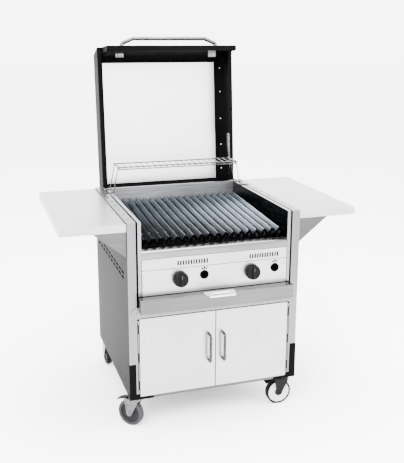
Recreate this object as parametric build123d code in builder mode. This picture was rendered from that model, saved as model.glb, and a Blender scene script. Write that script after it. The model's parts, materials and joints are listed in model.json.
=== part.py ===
"""Gas charbroiler on casters: a cabinet with two doors, an open fire pit, V-channel grates and a hood.

Frame: X to the right, Y to the rear, Z up, origin on the floor under the middle of the whole grill.
At rest the hood stands open, the doors and the drip tray are shut and the grates lie in the pit.
"""
from build123d import *
import math
import os

os.makedirs("parts", exist_ok=True)

# ---- driving dimensions, millimetres ----
work_height = 900.0                 # top of the side rails above the floor
cabinet_bottom = 141.0              # underside of the cabinet, on top of the casters
half_width = 370.0                  # half the width of the cabinet
cabinet_depth = 697.0
front = -397.85                     # Y of the front faces of the corner posts
back = front + cabinet_depth
sheet = 2.0                         # stainless sheet of the cabinet and the fire pit

post_inner = 336.0                  # X of the inner edge of a corner post
pit_half = 314.0                    # X of the inner face of a pit side wall
ridge_edge = 328.0                  # X of the outer edge of the bright flange around the pit
pit_bottom = 592.0
pit_back = front + 650.0            # Y of the inner face of the pit's back wall
pit_side_end = front + 658.0
front_rail_z = (745.0, 777.0)       # the rounded rail across the front of the pit
panel_fold = 697.0                  # height where the vent strip ends and the control panel begins

hinge_y = front + 672.5             # the hood turns about this line
hinge_z = 886.0
hood_lean = 5.0                     # degrees that the open hood leans back
hood_half = 332.0
hood_lip = 19.5                     # the hood's rim above the hinge line when it is shut
hood_rear = -24.5                   # the hood's rear wall, measured forward of the hinge line
hood_front = 666.3                  # the hood's front edge, measured forward of the hinge line

door_low = 153.0
door_high = 495.0
door_edge = 326.0
hinge_rod_x = 331.0
tray_low = 530.0
tray_top = 590.0
tray_reach = 45.0                   # how far the tray front stands ahead of the posts
caster_wheel_radius = 57.0


def write_piece(builder, node):
    """Label a finished piece and write it to its own STEP file."""
    builder.part.label = node
    export_step(builder.part, f"parts/{node}.step")


def write_pieces(solids, node):
    """Write several solids that only touch each other as one node."""
    assembled = Compound(children=solids)
    assembled.label = node
    export_step(assembled, f"parts/{node}.step")


def side_name(side):
    """The word for the side that a sign stands for."""
    return "left" if side < 0 else "right"


def block(x_span, y_span, z_span, mode=Mode.ADD):
    """Add or cut a box given by its spans along X, Y and Z."""
    centre = (sum(x_span) / 2, sum(y_span) / 2, sum(z_span) / 2)
    with Locations(centre):
        Box(abs(x_span[1] - x_span[0]), abs(y_span[1] - y_span[0]), abs(z_span[1] - z_span[0]), mode=mode)


def sided(side, near, far):
    """Span along X between two distances from the middle, on the given side."""
    return (side * near, side * far)


def from_front(near, far):
    """Span along Y between two depths behind the front faces of the posts."""
    return (front + near, front + far)


def facing_front(depth=0.0):
    """Sketch plane that looks to the front, at a depth behind the front faces of the posts."""
    return Plane(origin=(0, front + depth, 0), x_dir=(1, 0, 0), z_dir=(0, -1, 0))


# ---- cabinet floor: a pan with upright rims that carries the casters ----
with BuildPart() as base_pan:
    floor_thickness = 2.5
    rim_height = 25.0
    pan_half = half_width - sheet
    block((-pan_half, pan_half), from_front(sheet, cabinet_depth - sheet),
          (cabinet_bottom, cabinet_bottom + floor_thickness))
    for side in (-1, 1):
        block(sided(side, pan_half - sheet, pan_half), from_front(30, cabinet_depth - sheet),
              (cabinet_bottom, cabinet_bottom + rim_height))
    block((-post_inner, post_inner), from_front(sheet, 2 * sheet), (cabinet_bottom, cabinet_bottom + 10))
    block((-pan_half, pan_half), from_front(cabinet_depth - 2 * sheet, cabinet_depth - sheet),
          (cabinet_bottom, cabinet_bottom + rim_height))
write_piece(base_pan, "base_pan")

# ---- side panels with two rows of vent slots ----
low_vents = [(front + 101 + 57.1 * place, 650.0) for place in range(10)]
high_vents = [(front + 99 + 55.0 * place, 670.0) for place in range(8)]
for side in (-1, 1):
    with BuildPart() as side_panel:
        block(sided(side, half_width - sheet, half_width), from_front(sheet, cabinet_depth),
              (cabinet_bottom, work_height - sheet))
        with BuildSketch(Plane.YZ.offset(side * half_width)):
            with Locations(*low_vents, *high_vents):
                SlotOverall(44, 10.5)
        extrude(amount=5, both=True, mode=Mode.SUBTRACT)
    write_piece(side_panel, f"side_panel_{side_name(side)}")

# ---- back panel with a vent field and a hole for the gas pipe; its top edge stops the open hood ----
pipe_x = 350.0
pipe_z = 624.0
with BuildPart() as back_panel:
    back_top = 857.0
    block((sheet - half_width, half_width - sheet), from_front(cabinet_depth - sheet, cabinet_depth),
          (cabinet_bottom, back_top))
    with BuildSketch(facing_front(cabinet_depth)):
        with Locations((0, 735)):
            with GridLocations(70, 16, 8, 4):
                SlotOverall(50, 6)
        with Locations((pipe_x, pipe_z)):
            Circle(11.5)
    extrude(amount=5, both=True, mode=Mode.SUBTRACT)
write_piece(back_panel, "back_panel")

# ---- corner posts, each with the rod that its door turns on ----
rod_radius = 2.5
for side in (-1, 1):
    with BuildPart() as post:
        block(sided(side, post_inner, half_width), from_front(0, sheet),
              (cabinet_bottom, work_height - sheet))
        block(sided(side, post_inner, post_inner + sheet), from_front(sheet, 18), (168, work_height - sheet))
        for lug_low in (168, 484):
            block(sided(side, hinge_rod_x, post_inner + 1), from_front(-1, 2), (lug_low, lug_low + 6))
            with Locations((side * hinge_rod_x, front + 0.5, lug_low + 3)):
                Cylinder(4.2, 6)
        with Locations((side * hinge_rod_x, front + 0.5, 329)):
            Cylinder(rod_radius, 320)
    write_piece(post, f"front_post_{side_name(side)}")

# ---- top rails: eight sockets a side for rack legs, and a flange that carries the hood hinge ----
socket_x = 353.0
socket_radius = 4.0
socket_depths = [58.6 + 81.75 * place for place in range(8)]
hinge_pin_radius = 4.0
for side in (-1, 1):
    with BuildPart() as top_rail:
        block(sided(side, post_inner, half_width), (front, back), (work_height - sheet, work_height))
        block(sided(side, post_inner, post_inner + sheet), from_front(18, cabinet_depth),
              (866, work_height - sheet))
        with BuildSketch(Plane.XY.offset(work_height)):
            with Locations(*[(side * socket_x, front + depth) for depth in socket_depths]):
                Circle(socket_radius)
        extrude(amount=-5, mode=Mode.SUBTRACT)
        with BuildSketch(Plane.YZ.offset(side * post_inner)):
            with Locations((hinge_y, hinge_z)):
                Circle(hinge_pin_radius + 0.05)
        extrude(amount=5, both=True, mode=Mode.SUBTRACT)
    write_piece(top_rail, f"top_rail_{side_name(side)}")

# ---- black guards around the lower front corners ----
with BuildPart() as corner_guards:
    guard_out = half_width + sheet
    for side in (-1, 1):
        block(sided(side, 343, guard_out), from_front(-sheet, 0), (cabinet_bottom, 300))
        block(sided(side, half_width, guard_out), from_front(0, 8), (cabinet_bottom, 300))
        block(sided(side, 328, 343), from_front(-sheet, 0), (cabinet_bottom, 165))
        block(sided(side, 270, 328), from_front(-sheet, 0), (cabinet_bottom, 149))
write_piece(corner_guards, "corner_guards")

# ---- fire pit: side walls with a bright flange on top and in front ----
for side in (-1, 1):
    with BuildPart() as pit_side:
        block(sided(side, pit_half, pit_half + sheet), (front, pit_side_end), (pit_bottom, work_height))
        block(sided(side, pit_half, ridge_edge), from_front(0, sheet), (pit_bottom, work_height))
        block(sided(side, pit_half, ridge_edge), (front, pit_side_end), (work_height - sheet, work_height))
        block(sided(side, pit_half, half_width - sheet), (front + 60, pit_side_end),
              (pit_bottom, pit_bottom + sheet))
        if side > 0:
            with Locations(Location((pit_half, front + 30, pipe_z), (0, 90, 0))):
                Cylinder(11.5, 20, mode=Mode.SUBTRACT)
    write_piece(pit_side, f"firebox_side_{side_name(side)}")

with BuildPart() as firebox_back:
    block((-pit_half, pit_half), (pit_back, pit_back + sheet), (640, work_height))
    block((-pit_half, pit_half), (pit_back, front + 664), (work_height - sheet, work_height))
    block((-pit_half, pit_half), (pit_back, back - sheet), (812, 812 + sheet))
write_piece(firebox_back, "firebox_back")

# ---- fire pit front: a folded rail with a rounded nose, and the wall behind the controls ----
knob_x = (-156.0, 156.0)
knob_z = 653.0
port_shift = 103.5                  # from a knob to the lighting port beside it
port_z = 660.0
rail_depth = 46.0
with BuildPart() as firebox_front:
    low, high = front_rail_z
    with BuildSketch(Plane.YZ.offset(-pit_half)) as rail_profile:
        with Locations((front + rail_depth / 2, (low + high) / 2)):
            Rectangle(rail_depth, high - low)
        nose = rail_profile.vertices().group_by(Axis.X)[0]
        fillet(nose.sort_by(Axis.Y)[-1], 13)
        offset(amount=-sheet, mode=Mode.SUBTRACT)
    extrude(amount=2 * pit_half)
    block((-pit_half, pit_half), from_front(rail_depth - sheet, rail_depth), (610, low + 3))
    with BuildSketch(facing_front(rail_depth)):
        with Locations(*[(knob, knob_z) for knob in knob_x]):
            Circle(18.5)
        with Locations(*[(knob + port_shift, port_z) for knob in knob_x]):
            Circle(12)
    extrude(amount=6, both=True, mode=Mode.SUBTRACT)
write_piece(firebox_front, "firebox_front")

# ---- vent strip and control panel ----
with BuildPart() as vent_panel:
    block((-pit_half, pit_half), from_front(0, sheet), (684, front_rail_z[0]))
    with BuildSketch(facing_front()):
        for knob in knob_x:
            with Locations((knob + 54.5, 718)):
                with GridLocations(11.2, 1, 12, 1):
                    SlotOverall(21, 7.2, rotation=90)
    extrude(amount=8, both=True, mode=Mode.SUBTRACT)
write_piece(vent_panel, "vent_panel")

panel_half = 312.0
panel_low = pit_bottom + 0.5
screw_places = [(side * 302, height) for side in (-1, 1) for height in (627, 677)]
with BuildPart() as control_panel:
    block((-panel_half, panel_half), from_front(-sheet, 0), (panel_low, panel_fold))
    block((-panel_half, panel_half), from_front(0, 14), (panel_low, panel_low + sheet))
    with BuildSketch(facing_front()):
        with Locations(*[(knob, knob_z) for knob in knob_x]):
            Circle(7)
        with Locations(*[(knob + port_shift, port_z) for knob in knob_x]):
            Circle(14)
        with Locations(*screw_places):
            Circle(2.3)
    extrude(amount=8, both=True, mode=Mode.SUBTRACT)
write_piece(control_panel, "control_panel")
panel_depth = -sheet                # depth of the panel's outer face

with BuildPart() as fixing_screws:
    with BuildSketch(facing_front(panel_depth)):
        with Locations(*screw_places):
            Circle(5)
    extrude(amount=2.5)
    with BuildSketch(facing_front(panel_depth)):
        with Locations(*screw_places):
            Circle(2)
    extrude(amount=-8)
write_piece(fixing_screws, "fixing_screws")

# ---- lighting ports: ferrules that a taper is put through to light a burner ----
with BuildPart() as lighting_ports:
    port_places = [(knob + port_shift, port_z) for knob in knob_x]
    with BuildSketch(facing_front(panel_depth)):
        with Locations(*port_places):
            Circle(19)
    extrude(amount=3)
    with BuildSketch(facing_front(panel_depth)):
        with Locations(*port_places):
            Circle(13.7)
    extrude(amount=-30)
    with BuildSketch(facing_front(panel_depth)):
        with Locations(*port_places):
            Circle(11)
    extrude(amount=40, both=True, mode=Mode.SUBTRACT)
write_piece(lighting_ports, "lighting_ports")

# ---- gas: manifold with its run to the rear, inlet, valves, stems, knobs, burners ----
pipe_radius = 10.5
with BuildPart() as gas_manifold:
    with BuildLine() as pipe_path:
        FilletPolyline((-210, front + 30, pipe_z), (pipe_x, front + 30, pipe_z), (pipe_x, back - 3, pipe_z),
                       radius=16)
    with BuildSketch(Plane(origin=(-210, front + 30, pipe_z), z_dir=(1, 0, 0))):
        Circle(pipe_radius)
    sweep(path=pipe_path.line)
write_piece(gas_manifold, "gas_manifold")

inlet_length = 18.0
with BuildPart() as gas_inlet:
    with BuildSketch(facing_front(cabinet_depth)):
        with Locations((pipe_x, pipe_z)):
            RegularPolygon(16, 6)
    extrude(amount=-8)
    with BuildSketch(facing_front(cabinet_depth - 3)):
        with Locations((pipe_x, pipe_z)):
            Circle(pipe_radius)
    extrude(amount=-(11 + inlet_length))
    with BuildSketch(facing_front(cabinet_depth + 8 + inlet_length)):
        with Locations((pipe_x, pipe_z)):
            Circle(7)
    extrude(amount=inlet_length, mode=Mode.SUBTRACT)
write_piece(gas_inlet, "gas_inlet")

with BuildPart() as gas_valves:
    for knob in knob_x:
        block((knob - 13, knob + 13), from_front(14, 40), (pipe_z + 8, knob_z + 13))
        with Locations(Location((knob, front + 30, pipe_z), (0, 90, 0))):
            Cylinder(pipe_radius + 0.3, 30, mode=Mode.SUBTRACT)
    with BuildSketch(facing_front(6)):
        with Locations(*[(knob, knob_z) for knob in knob_x]):
            Circle(12)
    extrude(amount=-8)
    with BuildSketch(facing_front(40)):
        with Locations(*[(knob, knob_z) for knob in knob_x]):
            Circle(6)
    extrude(amount=-32)
    with BuildSketch(facing_front(6)):
        with Locations(*[(knob, knob_z) for knob in knob_x]):
            Circle(4.3)
    extrude(amount=-30, mode=Mode.SUBTRACT)
write_piece(gas_valves, "gas_valves")

# the knob stands clear of the panel by more than the stem's travel
stem_radius = 4.0
press_travel = 4.0
knob_gap = press_travel + 3.0
for knob, side in zip(knob_x, (-1, 1)):
    with BuildPart() as stem:
        with BuildSketch(facing_front(panel_depth - knob_gap - 14)):
            with Locations((knob, knob_z)):
                Circle(stem_radius)
        extrude(amount=-(knob_gap + 14 + 28))
    write_piece(stem, f"valve_stem_{side_name(side)}")

    with BuildPart() as dial:
        with BuildSketch(facing_front(panel_depth - knob_gap)):
            with Locations((knob, knob_z)):
                Circle(32)
        extrude(amount=9)
        fillet(dial.edges().filter_by(GeomType.CIRCLE).sort_by(Axis.Y)[0], 2)
        with BuildSketch(facing_front(panel_depth - knob_gap - 9)):
            with Locations((knob, knob_z)):
                Circle(29)
        extrude(amount=12, taper=5)
        with BuildSketch(facing_front(panel_depth - knob_gap - 8)):
            with Locations((knob, knob_z)):
                SlotOverall(52, 12, rotation=90)
        extrude(amount=19)
        with BuildSketch(facing_front(panel_depth - knob_gap)):
            with Locations((knob, knob_z)):
                Circle(stem_radius)
        extrude(amount=14, mode=Mode.SUBTRACT)
    write_piece(dial, f"knob_{side_name(side)}")

burner_z = 700.0
burner_radius = 20.0
for knob, side in zip(knob_x, (-1, 1)):
    with BuildPart() as burner:
        with BuildSketch(facing_front(62)):
            with Locations((knob, burner_z)):
                Circle(burner_radius)
        extrude(amount=-588)
        with Locations((knob, front + 100, 666)):
            Cylinder(17, 36)
        with BuildSketch(facing_front(50)):
            with Locations((knob, knob_z)):
                Circle(17)
        extrude(amount=-67)
        with BuildSketch(facing_front(64.5)):
            with Locations((knob, burner_z)):
                Circle(burner_radius - 2.5)
        extrude(amount=-583, mode=Mode.SUBTRACT)
        with BuildSketch(facing_front(50)):
            with Locations((knob, knob_z)):
                Circle(8)
        extrude(amount=-40, mode=Mode.SUBTRACT)
        with BuildSketch(Plane.YZ.offset(knob)):
            with Locations((front + 360, burner_z)):
                with GridLocations(22, 1, 24, 1):
                    Circle(2)
        extrude(amount=40, both=True, mode=Mode.SUBTRACT)
    write_piece(burner, f"burner_{side_name(side)}")

# ---- grates: V channels side by side, tied by combs and falling towards the front ----
channel_pitch = 34.8
channel_half = 14.0
channel_depth = 22.0
channel_skin = 2.6                  # sheet of a channel, measured straight down
channel_count = 9
channel_length = 557.0
drip_drop = 12.0                    # the drip channels hang this far below the grate channels
drip_ahead = 22.0                   # and reach this much further forward
comb_foot = 48.0                    # underside of the combs below the ridges
comb_places = (60.0, 490.0)         # from the rear ends, along the channels
fall = math.radians(3.7)
grate_plane = Plane(origin=(0, front + 638, 846), x_dir=(1, 0, 0),
                    z_dir=(0, -math.cos(fall), -math.sin(fall)))


def channel_outline(centre, top):
    """Corners of one V channel with its ridges at the given height."""
    return [
        (centre - channel_half, top), (centre, top - channel_depth), (centre + channel_half, top),
        (centre + channel_half, top - channel_skin), (centre, top - channel_depth - channel_skin),
        (centre - channel_half, top - channel_skin),
    ]


for side in (-1, 1):
    centres = [side * (1 + channel_pitch * (place + 0.5)) for place in range(channel_count)]
    gaps = [side * (1 + channel_pitch * place) for place in range(1, channel_count)]
    with BuildPart() as grate:
        with BuildSketch(grate_plane):
            for centre in centres:
                with BuildLine():
                    Polyline(*channel_outline(centre, 0), close=True)
                make_face()
        extrude(amount=channel_length)
        for place in comb_places:
            with BuildSketch(grate_plane.offset(place)):
                bar_top = -drip_drop - channel_depth - channel_skin
                with Locations((side * 157, (bar_top - comb_foot) / 2)):
                    Rectangle(310, bar_top + comb_foot)
                with Locations(*[(gap, -(4 + comb_foot) / 2) for gap in gaps]):
                    Rectangle(4, comb_foot - 4)
                with Locations(*[(gap, -7) for gap in gaps]):
                    Rectangle(13, 8)
            extrude(amount=4)
    write_piece(grate, f"grate_{side_name(side)}")

    with BuildPart() as drip_channels:
        with BuildSketch(grate_plane):
            for centre in centres:
                with BuildLine():
                    Polyline(*channel_outline(centre, -drip_drop), close=True)
                make_face()
        extrude(amount=channel_length + drip_ahead)
    write_piece(drip_channels, f"drip_channels_{side_name(side)}")

with BuildPart() as grate_supports:
    for place in comb_places:
        with BuildSketch(grate_plane.offset(place - 6)):
            with Locations((0, -comb_foot - 10)):
                Rectangle(2 * pit_half, 20)
        extrude(amount=16)
write_piece(grate_supports, "grate_supports")

# ---- warming rack: wire shelf on four legs that stand in the rail sockets ----
wire = 3.0
leg_wire = 2.0
rack_z = 1018.0
rack_half = 288.0
rack_near = 543.0
rack_far = 646.0


def rod(start, end, radius):
    """Add a round wire from one point to another."""
    run = Vector(*end) - Vector(*start)
    with BuildSketch(Plane(origin=start, z_dir=run)) as end_disc:
        Circle(radius)
    extrude(end_disc.sketch, amount=run.length)


rack_corner_x = 309.0               # where a leg reaches the grate's edge and turns down
leg_run_z = work_height + leg_wire + 0.1
foot_top = leg_run_z + 2.1          # a foot is its own wire below this height
with BuildPart() as rack_frame:
    low_wire_z = rack_z - 10
    for depth in (rack_near, rack_far):
        rod((-rack_half - wire, front + depth, rack_z), (rack_half + wire, front + depth, rack_z), wire)
    for side in (-1, 1):
        rod((side * rack_half, front + rack_near, rack_z + 0.4),
            (side * rack_half, front + rack_far, rack_z + 0.4), wire - 0.3)
    rod((-rack_half - 2, front + rack_near, low_wire_z), (rack_half + 2, front + rack_near, low_wire_z),
        leg_wire + 0.4)
    for place in range(21):
        across = -rack_half + 8.4 + 27.96 * place
        rod((across, front + rack_near, rack_z + 1.5), (across, front + rack_far, rack_z + 1.5), leg_wire)
        rod((across, front + rack_near, rack_z), (across, front + rack_near, low_wire_z), leg_wire - 0.2)
    for side in (-1, 1):
        rod((side * (rack_half - 4), front + rack_near, rack_z),
            (side * (rack_half - 4), front + rack_near, low_wire_z), leg_wire)
        for depth in socket_depths[6:]:
            y = front + depth
            corner = (side * rack_corner_x, y, work_height + 12)
            rod((side * (rack_half - 1), y, rack_z), corner, leg_wire)
            rod(corner, (side * rack_corner_x, y, foot_top), leg_wire)
            with Locations(corner):
                Sphere(leg_wire + 0.05)

rack_feet = []
for side in (-1, 1):
    for depth in socket_depths[6:]:
        y = front + depth
        bend = (side * rack_corner_x, y, leg_run_z)
        drop = (side * socket_x, y, leg_run_z)
        with BuildPart() as rack_foot:
            rod((side * rack_corner_x, y, foot_top), bend, leg_wire)
            rod(bend, drop, leg_wire)
            rod(drop, (side * socket_x, y, work_height - 16), leg_wire)
            for corner in (bend, drop):
                with Locations(corner):
                    Sphere(leg_wire + 0.05)
        rack_feet.append(rack_foot.part)
write_pieces([rack_frame.part, *rack_feet], "warming_rack")

# ---- drip tray: pan, front box, flat pull, guides ----
tray_half = 306.0
with BuildPart() as drip_tray:
    block((-tray_half, tray_half), from_front(4, 640), (tray_low + 4, tray_low + 54))
    offset(amount=-1.5, openings=drip_tray.faces().sort_by(Axis.Z)[-1])
write_piece(drip_tray, "drip_tray")

with BuildPart() as tray_front:
    tray_front_half = 330.0
    block((-tray_front_half, tray_front_half), from_front(-tray_reach, -5), (tray_low, tray_top))
    fillet(tray_front.edges().filter_by(Axis.X).group_by(Axis.Y)[0], 4)
    offset(amount=-sheet, openings=tray_front.faces().sort_by(Axis.Y)[-1])
    block((-290, 290), from_front(-5, 4), (tray_low + 20, tray_low + 50))
    block((-290, 290), from_front(-10, -5), (tray_low + 20, tray_top - 1))
write_piece(tray_front, "tray_front")

with BuildPart() as tray_handle:
    with BuildSketch(Plane.XY.offset(tray_top)) as pull_outline:
        with BuildLine():
            Polyline((-65, front - 32), (-65, front - 50), (-55, front - 90), (55, front - 90),
                     (65, front - 50), (65, front - 32), close=True)
        make_face()
        fillet(pull_outline.vertices().group_by(Axis.Y)[0], 8)
        with Locations((0, front - 62)):
            SlotOverall(82, 20, mode=Mode.SUBTRACT)
    extrude(amount=4)
write_piece(tray_handle, "tray_handle")

with BuildPart() as tray_guides:
    for side in (-1, 1):
        block(sided(side, 296, post_inner), from_front(0, cabinet_depth - sheet),
              (tray_low + 1, tray_low + 4))
        block(sided(side, 308, 310), from_front(6, cabinet_depth - sheet), (tray_low + 4, tray_low + 16))
        block(sided(side, 296, 334), from_front(0, 3), (499, tray_low + 4))
        with BuildSketch(facing_front(0)):
            with Locations((side * 335, 523)):
                Circle(25)
        extrude(amount=3.5)
        with BuildSketch(facing_front(-3.5)):
            with Locations((side * 335, 522)):
                RegularPolygon(6, 6)
        extrude(amount=3)
    block((-296, 296), from_front(0.5, 3), (499, 512))
write_piece(tray_guides, "tray_guides")

# ---- doors: folded leaves with knuckles on the post rods, and bent bar handles ----
door_depth = 18.0
knuckle_places = (205.0, 329.0, 453.0)
for side in (-1, 1):
    with BuildPart() as door:
        block(sided(side, 2, door_edge), from_front(0, door_depth), (door_low, door_high))
        offset(amount=-sheet, openings=door.faces().sort_by(Axis.Y)[-1])
        for height in knuckle_places:
            with Locations((side * hinge_rod_x, front + 0.5, height)):
                Cylinder(4.2, 40)
            block(sided(side, door_edge - 1, hinge_rod_x - 2), from_front(1.5, 4), (height - 20, height + 20))
        for height in knuckle_places:
            with Locations((side * hinge_rod_x, front + 0.5, height)):
                Cylinder(rod_radius + 0.3, 60, mode=Mode.SUBTRACT)
    write_piece(door, f"door_{side_name(side)}")

    with BuildPart() as door_handle:
        handle_x = side * 31
        with BuildLine() as bar_path:
            FilletPolyline((handle_x, front, 278), (handle_x, front - 29, 278), (handle_x, front - 29, 396),
                           (handle_x, front, 396), radius=12)
        with BuildSketch(facing_front(0)):
            with Locations((handle_x, 278)):
                Circle(6)
        sweep(path=bar_path.line)
    write_piece(door_handle, f"door_handle_{side_name(side)}")

# ---- side shelves on gussets ----
shelf_reach = 262.0
shelf_z = (862.0, 893.0)
shelf_depths = (8.0, cabinet_depth)
for side in (-1, 1):
    with BuildPart() as shelf:
        block(sided(side, half_width, half_width + shelf_reach), from_front(*shelf_depths), shelf_z)
        offset(amount=-1.5, openings=shelf.faces().sort_by(Axis.Z)[0])
    write_piece(shelf, f"shelf_{side_name(side)}")

with BuildPart() as shelf_brackets:
    for side in (-1, 1):
        wall = side * (half_width + 1.5)
        for depth in (shelf_depths[0] + 1.5, shelf_depths[1] - 3.5):
            with BuildSketch(facing_front(depth + 2)):
                with BuildLine():
                    Polyline((wall, 757), (side * half_width, 757), (side * half_width, 862), (wall, 862),
                             (wall, 891.5), (side * 500, 891.5), (side * 500, 860), close=True)
                make_face()
            extrude(amount=2)
write_piece(shelf_brackets, "shelf_brackets")

# ---- hood, drawn in its own frame: forward of the hinge line and up from it when shut ----
lean = math.radians(hood_lean)
hood_forward = Vector(0, math.sin(lean), math.cos(lean))
hood_up = Vector(0, math.cos(lean), -math.sin(lean))
hinge_point = Vector(0, hinge_y, hinge_z)
hood_profile_plane = Plane(origin=hinge_point, x_dir=hood_forward, z_dir=(-1, 0, 0))
hood_section_plane = Plane(origin=hinge_point, x_dir=(1, 0, 0), z_dir=hood_forward)
hood_up_axis = Axis(hinge_point, hood_up)
hood_top = 161.0
hood_shoulder = 122.0
top_half = 302.0                    # half the width of the hood's flat top


def hood_block(x_span, forward_span, up_span, mode=Mode.ADD):
    """Add or cut a box in the hood's frame."""
    with BuildSketch(hood_section_plane.offset(forward_span[0])) as end_face:
        with Locations((sum(x_span) / 2, sum(up_span) / 2)):
            Rectangle(abs(x_span[1] - x_span[0]), abs(up_span[1] - up_span[0]))
    extrude(end_face.sketch, amount=forward_span[1] - forward_span[0], mode=mode)


with BuildPart() as hood_shell:
    with BuildSketch(hood_section_plane.offset(hood_rear)):
        with BuildLine():
            Polyline((-hood_half, hood_lip), (-hood_half, hood_shoulder), (-top_half, hood_top),
                     (top_half, hood_top), (hood_half, hood_shoulder), (hood_half, hood_lip), close=True)
        make_face()
    extrude(amount=hood_front - hood_rear)
    with BuildSketch(hood_profile_plane):
        with BuildLine():
            Polyline((hood_rear, hood_lip), (hood_rear, 127), (8, hood_top), (606, hood_top), (635, 127),
                     (hood_front, hood_lip), close=True)
        make_face()
    extrude(amount=hood_half + 10, both=True, mode=Mode.INTERSECT)
    offset(amount=-sheet, openings=hood_shell.faces().sort_by(hood_up_axis)[0])
    # rim folded inwards along both sides and the rear
    for side in (-1, 1):
        hood_block(sided(side, 314, hood_half), (16, hood_front - 3), (hood_lip, hood_lip + sheet))
    hood_block((-318, 318), (hood_rear, -8), (hood_lip, hood_lip + sheet))
    # front plate that hangs below the rim when the hood is shut, with folded edges
    plate_half = 310.0
    plate_low = -101.5
    hood_block((-plate_half, plate_half), (hood_front - sheet, hood_front), (plate_low, hood_lip + 1))
    hood_block((-plate_half, plate_half), (hood_front - 24, hood_front), (plate_low, plate_low + sheet))
    for side in (-1, 1):
        hood_block(sided(side, plate_half - sheet, plate_half), (hood_front - 24, hood_front),
                   (plate_low, hood_lip - 0.5))
write_piece(hood_shell, "hood_shell")

with BuildPart() as hood_liner:
    liner_half = 285.0
    hood_block((-liner_half, liner_half), (12, 600), (hood_top - sheet - 1.5, hood_top - sheet))
write_piece(hood_liner, "hood_liner")

# rivets on the inner face of the sloping strips between the side walls and the top
rivet_x = 312.0
rivet_depths = (62, 184, 317, 453, 571)
strip_rise = hood_top - hood_shoulder
strip_run = hood_half - top_half
strip_width = math.hypot(strip_run, strip_rise)
rivet_up = hood_shoulder + ((hood_half - rivet_x) * strip_rise - sheet * strip_width) / strip_run
with BuildPart() as hood_rivets:
    for side in (-1, 1):
        inward = Vector(-side * strip_rise, 0, 0) - hood_up * strip_run
        for forward in rivet_depths:
            spot = hinge_point + Vector(side * rivet_x, 0, 0) + hood_forward * forward + hood_up * rivet_up
            with BuildSketch(Plane(origin=spot, z_dir=inward)):
                Circle(4)
            extrude(amount=2.5)
write_piece(hood_rivets, "hood_rivets")

arm_solids = []
for side in (-1, 1):
    arm_inner = side * 326
    arm_plane = Plane(origin=(arm_inner, hinge_y, hinge_z), x_dir=hood_forward, z_dir=(-1, 0, 0))
    with BuildPart() as hinge_eye:
        with BuildSketch(arm_plane):
            Circle(10)
            with Locations((0, 47.5)):
                Rectangle(20, 95)
            Circle(hinge_pin_radius + 0.3, mode=Mode.SUBTRACT)
        extrude(amount=-side * 4)
    with BuildPart() as hinge_strip:
        with BuildSketch(arm_plane):
            with Locations((127, 58.75)):
                Rectangle(234, 72.5)
        extrude(amount=-side * 4)
    arm_solids += [hinge_eye.part, hinge_strip.part]
write_pieces(arm_solids, "hood_hinge_arms")

with BuildPart() as hood_hinge_brackets:
    for side in (-1, 1):
        block(sided(side, 338, 341), (hinge_y - 16, hinge_y + 16), (868, 897))
        rod((side * 324, hinge_y, hinge_z), (side * 340, hinge_y, hinge_z), hinge_pin_radius)
write_piece(hood_hinge_brackets, "hood_hinge_brackets")

with BuildPart() as hood_handle:
    grip_up = -35.6
    grip_plane = Plane(origin=hinge_point + hood_forward * hood_front + hood_up * grip_up,
                       x_dir=(1, 0, 0), z_dir=hood_up * -1)
    with BuildLine(grip_plane) as grip_path:
        FilletPolyline((-228, 0), (-228, 13), (-172, 36), (172, 36), (228, 13), (228, 0), radius=10)
    with BuildSketch(Plane(origin=grip_path.line @ 0, z_dir=grip_path.line % 0)):
        Circle(9)
    sweep(path=grip_path.line)
    for side in (-1, 1):
        angle_x = sided(side, 209, 247)
        hood_block(angle_x, (hood_front - sheet - 3, hood_front - sheet), (-60, hood_lip))
        hood_block(angle_x, (620, hood_front - sheet - 3), (hood_lip - 3, hood_lip))
write_piece(hood_handle, "hood_handle")

# ---- casters: fixed plates, swivelling forks, wheels, and brake pedals on the front pair ----
swivel_x = 338.0
axle_trail = 24.0
turned = math.radians(45)
casters = {
    "front_left": ((-swivel_x, front + 45), (-math.sin(turned), math.cos(turned)), True),
    "front_right": ((swivel_x, front + 45), (-1.0, 0.0), True),
    "rear_left": ((-swivel_x, front + 650), (0.0, 1.0), False),
    "rear_right": ((swivel_x, front + 650), (0.0, 1.0), False),
}
race_radius = 21.0

with BuildPart() as caster_plates:
    for (x, y), trail_way, braked in casters.values():
        block((x - 32, x + 32), (y - 32, y + 32), (cabinet_bottom - 4, cabinet_bottom))
        with Locations((x, y, 131)):
            Cylinder(race_radius, 12)
        with Locations((x, y, 121.5)):
            Cylinder(5, 9)
        with Locations((x, y, 116.2)):
            Cylinder(9, 2.6)
write_piece(caster_plates, "caster_plates")

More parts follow.
